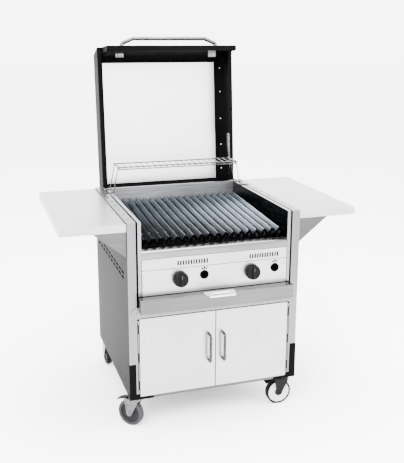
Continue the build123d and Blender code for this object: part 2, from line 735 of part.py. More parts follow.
for name, ((x, y), trail_way, braked) in casters.items():
    leg_inner = 16.5
    wheel_half = 14.0
    along_x, along_y = trail_way
    fork_plane = Plane(origin=(x, y, 0), x_dir=(along_x, along_y, 0), z_dir=(along_y, -along_x, 0))
    with BuildPart() as fork:
        with Locations((x, y, 124.2)):
            Cylinder(26, 12)
        with Locations((x, y, 126.2)):
            Cylinder(race_radius + 0.3, 9.6, mode=Mode.SUBTRACT)
        with Locations((x, y, 120)):
            Cylinder(5.3, 10, mode=Mode.SUBTRACT)
        for face in (-1, 1):
            with BuildSketch(fork_plane.offset(face * leg_inner)):
                with BuildLine():
                    Polyline((-17, 121), (24, 121), (46, 125), (46, 113), (axle_trail + 13, 62),
                             (axle_trail + 10, 50), (axle_trail - 10, 50), (-17, 108), close=True)
                make_face()
                with Locations((axle_trail, caster_wheel_radius)):
                    Circle(13)
            extrude(amount=face * 2.5)
        with BuildSketch(fork_plane.offset(-21)):
            with Locations((axle_trail, caster_wheel_radius)):
                Circle(4)
        extrude(amount=42)
        if braked:
            with BuildSketch(fork_plane.offset(-20)):
                with Locations((40, 119.5)):
                    Circle(2.5)
            extrude(amount=40)
    write_piece(fork, f"caster_fork_{name}")

    with BuildPart() as wheel:
        with BuildSketch(fork_plane.offset(-12)):
            with Locations((axle_trail, caster_wheel_radius)):
                Circle(44)
        extrude(amount=24)
        for face in (-1, 1):
            with BuildSketch(fork_plane.offset(face * 12)):
                with Locations((axle_trail, caster_wheel_radius)):
                    Circle(38)
                    Circle(15, mode=Mode.SUBTRACT)
            extrude(amount=-face * 7, mode=Mode.SUBTRACT)
        with BuildSketch(fork_plane.offset(-wheel_half - 1)):
            with Locations((axle_trail, caster_wheel_radius)):
                Circle(10)
        extrude(amount=2 * wheel_half + 2)
        with BuildSketch(fork_plane.offset(-25)):
            with Locations((axle_trail, caster_wheel_radius)):
                Circle(4.3)
        extrude(amount=50, mode=Mode.SUBTRACT)
    with BuildPart() as tyre:
        with BuildSketch(fork_plane.offset(-wheel_half)):
            with Locations((axle_trail, caster_wheel_radius)):
                Circle(caster_wheel_radius)
                Circle(44, mode=Mode.SUBTRACT)
        extrude(amount=2 * wheel_half)
        fillet(tyre.edges().filter_by(GeomType.CIRCLE).filter_by(lambda edge: edge.radius > 50), 5)
    write_pieces([wheel.part, tyre.part], f"caster_wheel_{name}")

    if braked:
        with BuildPart() as pedal:
            with BuildSketch(fork_plane.offset(-15)):
                with BuildLine():
                    Polyline((40, 123), (64, 119), (88, 108), (87, 105), (63, 115), (40, 117), close=True)
                make_face()
                with Locations((40, 119.5)):
                    Circle(4.6)
                    Circle(2.8, mode=Mode.SUBTRACT)
            extrude(amount=30)
        write_piece(pedal, f"brake_pedal_{name}")
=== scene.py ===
import bpy
import json
import math
from mathutils import Matrix, Vector


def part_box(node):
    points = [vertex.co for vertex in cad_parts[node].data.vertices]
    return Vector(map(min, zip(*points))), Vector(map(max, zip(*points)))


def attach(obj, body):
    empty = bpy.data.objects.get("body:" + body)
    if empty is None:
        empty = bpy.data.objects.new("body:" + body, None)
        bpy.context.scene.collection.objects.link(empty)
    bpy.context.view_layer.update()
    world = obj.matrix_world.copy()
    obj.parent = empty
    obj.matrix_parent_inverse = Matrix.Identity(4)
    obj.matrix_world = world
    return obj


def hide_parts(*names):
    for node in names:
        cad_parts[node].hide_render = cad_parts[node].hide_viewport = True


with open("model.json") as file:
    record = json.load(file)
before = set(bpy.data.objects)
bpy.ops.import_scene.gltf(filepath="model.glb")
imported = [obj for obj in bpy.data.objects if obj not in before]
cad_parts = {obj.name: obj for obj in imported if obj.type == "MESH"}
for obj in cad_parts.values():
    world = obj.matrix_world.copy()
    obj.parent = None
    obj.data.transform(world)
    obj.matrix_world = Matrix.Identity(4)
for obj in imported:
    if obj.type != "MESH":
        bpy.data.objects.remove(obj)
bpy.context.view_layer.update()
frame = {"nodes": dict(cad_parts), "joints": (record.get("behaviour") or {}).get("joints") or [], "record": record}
parts = frame["nodes"]
body_of = {node: body for body, nodes in frame["record"]["behaviour"]["bodies"].items() for node in nodes}


# ---- Cabinet floor and back panel ----
# Folded pans of dull stainless sheet that carry the casters and close the rear.
# They are spot welded behind the posts, so only their edges and undersides show.
def brushed_metal(name, dark, light, rough, grain, cloud=2.2, edge=1.0):
    """Metal with fine lines along one direction and slow changes of tone, as a belt grinder leaves it."""
    finish = bpy.data.materials.new(name)
    finish.use_nodes = True
    nodes, links = finish.node_tree.nodes, finish.node_tree.links
    shader = nodes["Principled BSDF"]
    shader.inputs["Metallic"].default_value = 1.0
    shader.inputs["Specular Tint"].default_value = (edge, edge, edge, 1)
    place = nodes.new("ShaderNodeTexCoord")
    stretch = nodes.new("ShaderNodeMapping")
    stretch.inputs["Scale"].default_value = grain
    lines = nodes.new("ShaderNodeTexNoise")
    lines.inputs["Scale"].default_value = 1.0
    lines.inputs["Detail"].default_value = 4.0
    clouds = nodes.new("ShaderNodeTexNoise")
    clouds.inputs["Scale"].default_value = cloud
    clouds.inputs["Detail"].default_value = 2.0
    both = nodes.new("ShaderNodeMix")
    both.inputs["Factor"].default_value = 0.4
    tones = nodes.new("ShaderNodeValToRGB")
    tones.color_ramp.elements[0].position = 0.3
    tones.color_ramp.elements[0].color = (*dark, 1)
    tones.color_ramp.elements[1].position = 0.7
    tones.color_ramp.elements[1].color = (*light, 1)
    gloss = nodes.new("ShaderNodeMapRange")
    gloss.inputs["To Min"].default_value = rough - 0.06
    gloss.inputs["To Max"].default_value = rough + 0.08
    relief = nodes.new("ShaderNodeBump")
    relief.inputs["Strength"].default_value = 0.25
    relief.inputs["Distance"].default_value = 0.0001
    links.new(place.outputs["Object"], stretch.inputs["Vector"])
    links.new(stretch.outputs["Vector"], lines.inputs["Vector"])
    links.new(place.outputs["Object"], clouds.inputs["Vector"])
    links.new(lines.outputs["Fac"], both.inputs["A"])
    links.new(clouds.outputs["Fac"], both.inputs["B"])
    links.new(both.outputs["Result"], tones.inputs["Fac"])
    links.new(tones.outputs["Color"], shader.inputs["Base Color"])
    links.new(lines.outputs["Fac"], gloss.inputs["Value"])
    links.new(gloss.outputs["Result"], shader.inputs["Roughness"])
    links.new(lines.outputs["Fac"], relief.inputs["Height"])
    links.new(relief.outputs["Normal"], shader.inputs["Normal"])
    return finish


def dress(node, finish):
    """Give a piece that keeps its own shape its real finish."""
    slots = parts[node].data.materials
    slots.clear()
    slots.append(finish)


def only(thing):
    """Deselect everything but one object and make it the active one."""
    bpy.ops.object.select_all(action="DESELECT")
    thing.select_set(True)
    bpy.context.view_layer.objects.active = thing


def hand_over(piece, node, finish, smooth=35):
    """Shade a finished piece, fix it to its body and let it stand for its node."""
    only(piece)
    bpy.ops.object.shade_smooth_by_angle(angle=math.radians(smooth))
    bpy.ops.object.modifier_add(type="WEIGHTED_NORMAL")
    evening = piece.modifiers[-1]
    evening.keep_sharp = True
    bpy.ops.object.modifier_apply(modifier=evening.name)
    piece.data.materials.clear()
    piece.data.materials.append(finish)
    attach(piece, body_of[node])
    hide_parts(node)


def pressed(node, edge, finish, rounds=2, smooth=35):
    """Weld a copy of a piece's mesh and round its edges, as a press brake or a file leaves them."""
    piece = bpy.data.objects.new(f"{node}_shown", parts[node].data.copy())
    bpy.context.scene.collection.objects.link(piece)
    only(piece)
    bpy.ops.object.mode_set(mode="EDIT")
    bpy.ops.mesh.select_all(action="SELECT")
    bpy.ops.mesh.remove_doubles(threshold=0.00002)
    bpy.ops.mesh.dissolve_limited(angle_limit=math.radians(1))
    bpy.ops.object.mode_set(mode="OBJECT")
    if edge:
        bpy.ops.object.modifier_add(type="BEVEL")
        rounding = piece.modifiers[-1]
        rounding.width = edge
        rounding.segments = rounds
        rounding.angle_limit = math.radians(40)
        bpy.ops.object.modifier_apply(modifier=rounding.name)
    hand_over(piece, node, finish, smooth)


dull_sheet = brushed_metal("dull_sheet", (0.04, 0.04, 0.041), (0.09, 0.09, 0.092), 0.42, (6, 700, 700))
dress("base_pan", dull_sheet)
pressed("back_panel", 0.0006, dull_sheet)


# ---- Side panels ----
# Large flat sheets of ground stainless with two rows of slots punched for air.
# Their grain runs upright, and their colour is set far darker than the front's: painted shade on the sides, which
# face away from the light.
side_shaded_sheet = brushed_metal(
    "side_shaded_sheet", (0.03, 0.03, 0.031), (0.044, 0.044, 0.045), 0.36, (900, 900, 5), 1.3, 0.35
)
for side in ("left", "right"):
    pressed(f"side_panel_{side}", 0.0005, side_shaded_sheet)


# ---- Slot shade sheets ----
# Black sheets that stand a few millimetres behind the slots: painted shade for the dark seen through them.
# One lies behind each side panel's slots and one behind the vent strip.
def shade_box(name, low, high):
    """A black box between two corners, fixed to the cabinet: painted shade where there is only shade."""
    bpy.ops.mesh.primitive_cube_add(size=1, location=(Vector(low) + Vector(high)) / 2)
    sheet = bpy.context.object
    sheet.scale = Vector(high) - Vector(low)
    bpy.ops.object.transform_apply(location=True, rotation=True, scale=True)
    sheet.name = name
    sheet.data.materials.append(painted_shade_black)
    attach(sheet, "cabinet")


def enamel(name, colour, rough, peel=0.00015, wear_and_highlight=None, sheen=0.08):
    """Stoved enamel: an even dark coat with a faint ripple and dusty, duller patches."""
    finish = bpy.data.materials.new(name)
    finish.use_nodes = True
    nodes, links = finish.node_tree.nodes, finish.node_tree.links
    shader = nodes["Principled BSDF"]
    shader.inputs["Specular IOR Level"].default_value = sheen
    place = nodes.new("ShaderNodeTexCoord")
    patches = nodes.new("ShaderNodeTexNoise")
    patches.inputs["Scale"].default_value = 5.0
    patches.inputs["Detail"].default_value = 5.0
    ripple = nodes.new("ShaderNodeTexNoise")
    ripple.inputs["Scale"].default_value = 420.0
    tones = nodes.new("ShaderNodeValToRGB")
    tones.color_ramp.elements[0].position = 0.35
    tones.color_ramp.elements[0].color = (*colour, 1)
    tones.color_ramp.elements[1].position = 0.75
    tones.color_ramp.elements[1].color = (*(wear_and_highlight or [1.35 * c for c in colour]), 1)
    gloss = nodes.new("ShaderNodeMapRange")
    gloss.inputs["To Min"].default_value = rough - 0.06
    gloss.inputs["To Max"].default_value = rough + 0.1
    relief = nodes.new("ShaderNodeBump")
    relief.inputs["Strength"].default_value = 0.2
    relief.inputs["Distance"].default_value = peel
    links.new(place.outputs["Object"], patches.inputs["Vector"])
    links.new(place.outputs["Object"], ripple.inputs["Vector"])
    links.new(patches.outputs["Fac"], tones.inputs["Fac"])
    links.new(tones.outputs["Color"], shader.inputs["Base Color"])
    links.new(patches.outputs["Fac"], gloss.inputs["Value"])
    links.new(gloss.outputs["Result"], shader.inputs["Roughness"])
    links.new(ripple.outputs["Fac"], relief.inputs["Height"])
    links.new(relief.outputs["Normal"], shader.inputs["Normal"])
    return finish


# Near-black coat for the pieces that are painted shade in slots, gaps and holes.
painted_shade_black = enamel("painted_shade_black", (0.0008, 0.0008, 0.0008), 0.7, sheen=0.01)
near_face = 0.004    # how far behind the pierced sheet a shade sheet's two faces lie
far_face = 0.006
side_slots_foot = 0.632
side_slots_head = 0.688
vent_slots_foot = 0.701
vent_slots_head = 0.742
vent_half = 0.30
panel_low, panel_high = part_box("side_panel_right")
for side, word in ((-1, "left"), (1, "right")):
    near, far = sorted((side * (panel_low.x - near_face), side * (panel_low.x - far_face)))
    slot_shade_low = (near, panel_low.y + 0.06, side_slots_foot)
    slot_shade_high = (far, panel_high.y - 0.05, side_slots_head)
    shade_box(f"slot_shade_{word}", slot_shade_low, slot_shade_high)
strip_low, strip_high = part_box("vent_panel")
slot_shade_low = (-vent_half, strip_high.y + near_face, vent_slots_foot)
slot_shade_high = (vent_half, strip_high.y + far_face, vent_slots_head)
shade_box("slot_shade_front", slot_shade_low, slot_shade_high)


# ---- Corner posts and top rails ----
# Folded channels of bright ground stainless that frame the cabinet.
# The rails have sockets for rack legs and are welded on the posts.
post_sheet = brushed_metal("post_sheet", (0.09, 0.09, 0.094), (0.17, 0.17, 0.177), 0.28, (900, 900, 4))
rail_sheet = brushed_metal("rail_sheet", (0.1, 0.1, 0.104), (0.22, 0.22, 0.228), 0.27, (900, 6, 900))
for side in ("left", "right"):
    pressed(f"front_post_{side}", 0.0006, post_sheet)
    pressed(f"top_rail_{side}", 0.0006, rail_sheet)


# ---- Corner guards ----
# Black enamelled angles that take the knocks at the foot of the cabinet.
# The enamel is thick and slightly orange-peeled, and dulls with use.
guard_coat = enamel("guard_coat", (0.001, 0.001, 0.0011), 0.5, sheen=0.015)
pressed("corner_guards", 0.0008, guard_coat)


# ---- Fire pit ----
# Heavy stainless sheets around the fire; the flange on top and in front is left bright,
# while the side walls turn near black inboard of the back wall's ends.
def darkened(finish, name, limit, beyond, colour):
    """A copy of a finish that turns to another colour nearer the middle, or further out, than a limit."""
    two_tone = finish.copy()
    two_tone.name = name
    nodes, links = two_tone.node_tree.nodes, two_tone.node_tree.links
    across = nodes.new("ShaderNodeSeparateXYZ")
    apart = nodes.new("ShaderNodeMath")
    apart.operation = "ABSOLUTE"
    changed = nodes.new("ShaderNodeMath")
    changed.operation = "GREATER_THAN" if beyond else "LESS_THAN"
    changed.inputs[1].default_value = limit
    blend = nodes.new("ShaderNodeMix")
    blend.data_type = "RGBA"
    blend.inputs["B"].default_value = (*colour, 1)
    tones = next(node for node in nodes if node.type == "VALTORGB")
    place = next(node for node in nodes if node.type == "TEX_COORD")
    links.new(place.outputs["Object"], across.inputs["Vector"])
    links.new(across.outputs["X"], apart.inputs[0])
    links.new(apart.outputs["Value"], changed.inputs[0])
    links.new(changed.outputs["Value"], blend.inputs["Factor"])
    links.new(tones.outputs["Color"], blend.inputs["A"])
    links.new(blend.outputs["Result"], nodes["Principled BSDF"].inputs["Base Color"])
    return two_tone


ridge_sheet = brushed_metal("ridge_sheet", (0.1, 0.1, 0.104), (0.26, 0.26, 0.27), 0.26, (900, 8, 900))
smoked_sheet = brushed_metal("smoked_sheet", (0.07, 0.07, 0.073), (0.3, 0.3, 0.31), 0.38, (7, 500, 500), 3.0)
wall_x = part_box("firebox_back")[1].x + 0.0005
pit_wall = darkened(ridge_sheet, "pit_wall", wall_x, False, (0.003, 0.003, 0.0032))
pressed("firebox_side_left", 0.0006, pit_wall)
pressed("firebox_side_right", 0.0006, pit_wall)
pressed("firebox_back", 0.0006, smoked_sheet)
front_rail_sheet = brushed_metal(
    "front_rail_sheet", (0.06, 0.06, 0.063), (0.24, 0.24, 0.25), 0.2, (4, 900, 900)
)
pressed("firebox_front", 0.0008, front_rail_sheet)
dress("grate_supports", dull_sheet)


# ---- Vent strip and control panel ----
# Ground stainless with its grain along the width, screwed over the valves.
# Two groups of upright slots let air in above the knobs.
panel_sheet = brushed_metal(
    "panel_sheet", (0.26, 0.263, 0.272), (0.52, 0.523, 0.535), 0.3, (4, 900, 900), 1.2
)
pressed("vent_panel", 0.0004, panel_sheet)
pressed("control_panel", 0.0008, panel_sheet)


# ---- Painted shadow lines ----
# Thin black strips, painted shadow in the joints under the front rail, on the panel's fold and down both of its
# sides.
# A dark strip above the doors is painted shade in the gap there.
face_low, face_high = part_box("control_panel")
shadow_line_front = strip_low.y - 0.0006
rail_line_half = 0.0008
fold_line = 0.0014
side_line_half = 0.001
shadow_lines = {
    "bead_rail": (
        (strip_low.x, shadow_line_front, strip_high.z - rail_line_half),
        (strip_high.x, strip_low.y, strip_high.z + rail_line_half),
    ),
    "bead_fold": (
        (strip_low.x, shadow_line_front, face_high.z),
        (strip_high.x, strip_low.y, face_high.z + fold_line),
    ),
    "bead_left": (
        (strip_low.x - side_line_half, shadow_line_front, face_low.z),
        (strip_low.x + side_line_half, strip_low.y, strip_high.z),
    ),
    "bead_right": (
        (strip_high.x - side_line_half, shadow_line_front, face_low.z),
        (strip_high.x + side_line_half, strip_low.y, strip_high.z),
    ),
}
for name, (low, high) in shadow_lines.items():
    shade_box(name, low, high)
door_top_shade_half = 0.326
leaf_low, leaf_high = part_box("door_right")
door_top_shade_low = (-door_top_shade_half, leaf_low.y + near_face, leaf_high.z + 0.0004)
door_top_shade_high = (door_top_shade_half, leaf_low.y + far_face, leaf_high.z + 0.0036)
shade_box("door_top_shade", door_top_shade_low, door_top_shade_high)


# ---- Panel screws ----
# Domed stainless screws with a cross recess, one near each corner of the control panel.
# The head is pressed from wire and the cross is driven in afterwards.
def cut_with(piece, tool):
    """Take one solid away from another."""
    only(piece)
    bpy.ops.object.modifier_add(type="BOOLEAN")
    cut = piece.modifiers[-1]
    cut.operation = "DIFFERENCE"
    cut.object = tool
    bpy.ops.object.modifier_apply(modifier=cut.name)
    bpy.data.objects.remove(tool)


def bake_place(piece):
    """Move a piece's place and turn into its mesh."""
    only(piece)
    bpy.ops.object.transform_apply(location=True, rotation=True, scale=True)


def round_edges(piece, width, rounds=3, angle=40):
    """Round a piece's edges and apply the rounding."""
    only(piece)
    bpy.ops.object.modifier_add(type="BEVEL")
    rounding = piece.modifiers[-1]
    rounding.width = width
    rounding.segments = rounds
    rounding.angle_limit = math.radians(angle)
    bpy.ops.object.modifier_apply(modifier=rounding.name)


def joined(pieces, name):
    """Make several meshes one object."""
    bpy.ops.object.select_all(action="DESELECT")
    for piece in pieces:
        piece.select_set(True)
    bpy.context.view_layer.objects.active = pieces[0]
    bpy.ops.object.join()
    whole = bpy.context.object
    whole.name = name
    return whole


def copies(piece, places):
    """The piece and its copies, each moved by an offset and each with its own mesh."""
    made = []
    for offset in places:
        copy = piece.copy()
        copy.data = piece.data.copy()
        copy.data.transform(Matrix.Translation(offset))
        bpy.context.scene.collection.objects.link(copy)
        made.append(copy)
    bpy.data.objects.remove(piece)
    return made


bright_steel = brushed_metal("bright_steel", (0.24, 0.24, 0.245), (0.62, 0.62, 0.63), 0.22, (90, 90, 90), 8.0)
screw_low, screw_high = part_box("fixing_screws")
head_depth = 0.0025
head_radius = 0.005
bpy.ops.mesh.primitive_cylinder_add(
    vertices=28, radius=head_radius, depth=head_depth, rotation=(math.pi / 2, 0, 0)
)
screw = bpy.context.object
bake_place(screw)
round_edges(screw, 0.001)
for turn in (0, math.pi / 2):
    bpy.ops.mesh.primitive_cube_add(size=1, location=(0, -head_depth / 2, 0), rotation=(0, turn, 0))
    slot_tool = bpy.context.object
    slot_tool.scale = (0.0055, 0.0022, 0.0011)
    bake_place(slot_tool)
    cut_with(screw, slot_tool)
screw_y = screw_low.y + head_depth / 2
screw_x = screw_high.x - head_radius
screw_heights = (screw_low.z + head_radius, screw_high.z - head_radius)
places = [Vector((side * screw_x, screw_y, z)) for side in (-1, 1) for z in screw_heights]
hand_over(joined(copies(screw, places), "panel_screws"), "fixing_screws", bright_steel)


# ---- Rail sockets ----
# Black discs on the free holes of the top rails, lying almost flush: painted shade for the dark inside the holes.
# The rack's legs stand in the last two on each side, so only the free six show.
socket_x = 0.353
first_socket = 0.0586    # behind the front end of the rail
socket_pitch = 0.08175
free_sockets = 6
shade_disc_radius = 0.0047
shade_disc_depth = 0.0006
rail_low, rail_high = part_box("top_rail_right")
shade_disc_places = [
    Vector((side * socket_x, rail_low.y + first_socket + socket_pitch * place, rail_high.z + 0.0001))
    for side in (-1, 1) for place in range(free_sockets)
]
bpy.ops.mesh.primitive_cylinder_add(vertices=24, radius=shade_disc_radius, depth=shade_disc_depth)
shade_disc = bpy.context.object
shade_discs = joined(copies(shade_disc, shade_disc_places), "socket_hole_shade")
shade_discs.data.materials.append(painted_shade_black)
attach(shade_discs, "cabinet")


# ---- Lighting ports and flame marks ----
# Spun stainless ferrules pressed into the panel, that a taper goes through; they are coloured all black, painted
# shade for the dark inside of the ports.
# A small flame is etched above each one to say what it is for.
pressed("lighting_ports", 0.0008, painted_shade_black)
port_low, port_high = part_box("lighting_ports")
port_radius = (port_high.z - port_low.z) / 2
port_xs = (port_low.x + port_radius, port_high.x - port_radius)
panel_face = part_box("control_panel")[0].y
etching = enamel("etching", (0.006, 0.006, 0.006), 0.55)
flame_spread = 0.013
flame_drop = 0.008
face_gap = 0.00002
bpy.ops.mesh.primitive_circle_add(vertices=20, radius=0.0035, fill_type="NGON", rotation=(math.pi / 2, 0, 0))
flame = bpy.context.object
bake_place(flame)
for corner in flame.data.vertices:
    if corner.co.z > 0:
        corner.co.x *= 1 - corner.co.z / 0.0036
        corner.co.z *= 2.3
bpy.ops.object.mode_set(mode="EDIT")
bpy.ops.mesh.select_all(action="SELECT")
bpy.ops.mesh.extrude_region_move(TRANSFORM_OT_translate={"value": (0, -0.00025, 0)})
bpy.ops.mesh.select_all(action="SELECT")
bpy.ops.mesh.remove_doubles(threshold=0.00001)
bpy.ops.mesh.normals_make_consistent(inside=False)
bpy.ops.object.mode_set(mode="OBJECT")
flame_z = port_high.z + 0.009
tongues = []
for x in port_xs:
    for lean_over, size in ((-0.75, 1.1), (0, 1.4), (0.75, 1.1)):
        tongue = flame.copy()
        tongue.data = flame.data.copy()
        turn = Matrix.Rotation(lean_over, 4, "Y") @ Matrix.Scale(size, 4)
        aside = flame_spread * math.sin(lean_over)
        lower = flame_drop * (math.cos(lean_over) - 1)
        spot = Vector((x + aside, panel_face - face_gap, flame_z + lower))
        tongue.data.transform(Matrix.Translation(spot) @ turn)
        bpy.context.scene.collection.objects.link(tongue)
        tongues.append(tongue)
bpy.data.objects.remove(flame)
flames = joined(tongues, "flame_marks")
flames.data.materials.append(etching)
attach(flames, "cabinet")


# ---- Gas train ----
# A plated pipe with brass valves feeds two cast-iron burners; a brass inlet stands out at the rear.
# All of it is hidden behind the control panel except the inlet.
brass = brushed_metal("brass", (0.3, 0.19, 0.06), (0.52, 0.36, 0.14), 0.3, (60, 60, 60), 9.0)
plated_pipe = brushed_metal("plated_pipe", (0.1, 0.1, 0.1), (0.24, 0.24, 0.24), 0.4, (12, 140, 140), 7.0)
cast_iron = enamel("cast_iron", (0.010, 0.009, 0.009), 0.75, 0.0006, (0.024, 0.02, 0.017))
dress("gas_manifold", plated_pipe)
dress("gas_valves", brass)
pressed("gas_inlet", 0.0006, brass)
for side in ("left", "right"):
    dress(f"burner_{side}", cast_iron)
    dress(f"valve_stem_{side}", brass)


# ---- Control knobs ----
# Moulded dark plastic: a round skirt, a drum on it and a thick pointer ridge to turn it by.
# They push on the valve stems.
def moulded(name, colour, rough):
    """Moulded plastic with a fine eroded texture and slightly paler, rubbed places."""
    grain = 900.0
    finish = enamel(name, colour, rough, 0.0001)
    finish.node_tree.nodes["Principled BSDF"].inputs["Specular IOR Level"].default_value = 0.05
    for node in finish.node_tree.nodes:
        if node.type == "TEX_NOISE" and node.inputs["Scale"].default_value > 100:
            node.inputs["Scale"].default_value = grain
    return finish


def disc(radius, depth, at, facing, corners=64):
    """A round slab whose axis points along a direction, centred at a place."""
    bpy.ops.mesh.primitive_cylinder_add(vertices=corners, radius=radius, depth=depth)
    slab = bpy.context.object
    turn = Vector((0, 0, 1)).rotation_difference(Vector(facing).normalized())
    slab.data.transform(Matrix.Translation(at) @ turn.to_matrix().to_4x4())
    return slab


def add_to(piece, other):
    """Make two solids one."""
    only(piece)
    bpy.ops.object.modifier_add(type="BOOLEAN")
    union = piece.modifiers[-1]
    union.operation = "UNION"
    union.object = other
    bpy.ops.object.modifier_apply(modifier=union.name)
    bpy.data.objects.remove(other)


def inset_ends(piece, facing, steps, both=True):
    """Step the end faces of a slab in and out: each step is a width and a rise."""
    only(piece)
    facing = Vector(facing).normalized()
    bpy.ops.object.mode_set(mode="EDIT")
    bpy.ops.mesh.select_mode(type="FACE")
    bpy.ops.mesh.select_all(action="DESELECT")
    bpy.ops.object.mode_set(mode="OBJECT")
    for face in piece.data.polygons:
        along = face.normal.dot(facing)
        face.select = (abs(along) if both else along) > 0.99 and len(face.vertices) > 8
    bpy.ops.object.mode_set(mode="EDIT")
    for width, rise in steps:
        bpy.ops.mesh.inset(thickness=width, depth=rise, use_individual=True)
    bpy.ops.object.mode_set(mode="OBJECT")


knob_plastic = moulded("knob_plastic", (0.0016, 0.0017, 0.0019), 0.45)
pointer_paint = enamel("pointer_paint", (0.04, 0.04, 0.04), 0.5)
front_way = (0, -1, 0)
skirt_depth = 0.009
drum_radius = 0.029
drum_depth = 0.014
ridge_width = 0.0125
ridge_depth = 0.0215
for side in ("left", "right"):
    low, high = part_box(f"knob_{side}")
    middle = (low + high) / 2
    radius = (high.z - low.z) / 2
    skirt = disc(radius, skirt_depth, (middle.x, high.y - skirt_depth / 2, middle.z), front_way, 72)
    inset_ends(skirt, front_way, [(0.004, 0.0012)], both=False)
    round_edges(skirt, 0.0012)
    drum = disc(drum_radius, drum_depth, (middle.x, high.y - drum_depth, middle.z), front_way, 64)
    inset_ends(drum, front_way, [(0.003, -0.001)], both=False)
    round_edges(drum, 0.001)
    bpy.ops.mesh.primitive_cube_add(size=1)
    ridge = bpy.context.object
    ridge.scale = (ridge_width, ridge_depth, 2 * radius - 0.012)
    ridge.location = (middle.x, low.y + ridge_depth / 2, middle.z)
    bake_place(ridge)
    round_edges(ridge, 0.004, 4)
    add_to(skirt, drum)
    add_to(skirt, ridge)
    skirt.name = f"knob_{side}_shown"
    hand_over(skirt, f"knob_{side}", knob_plastic, 40)
    bpy.ops.mesh.primitive_cube_add(size=1)
    mark = bpy.context.object
    mark.scale = (0.0022, 0.0004, 0.014)
    mark.location = (middle.x, low.y + 0.0001, high.z - 0.018)
    bake_place(mark)
    mark.name = f"knob_{side}_line"
    mark.data.materials.append(pointer_paint)
    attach(mark, body_of[f"knob_{side}"])


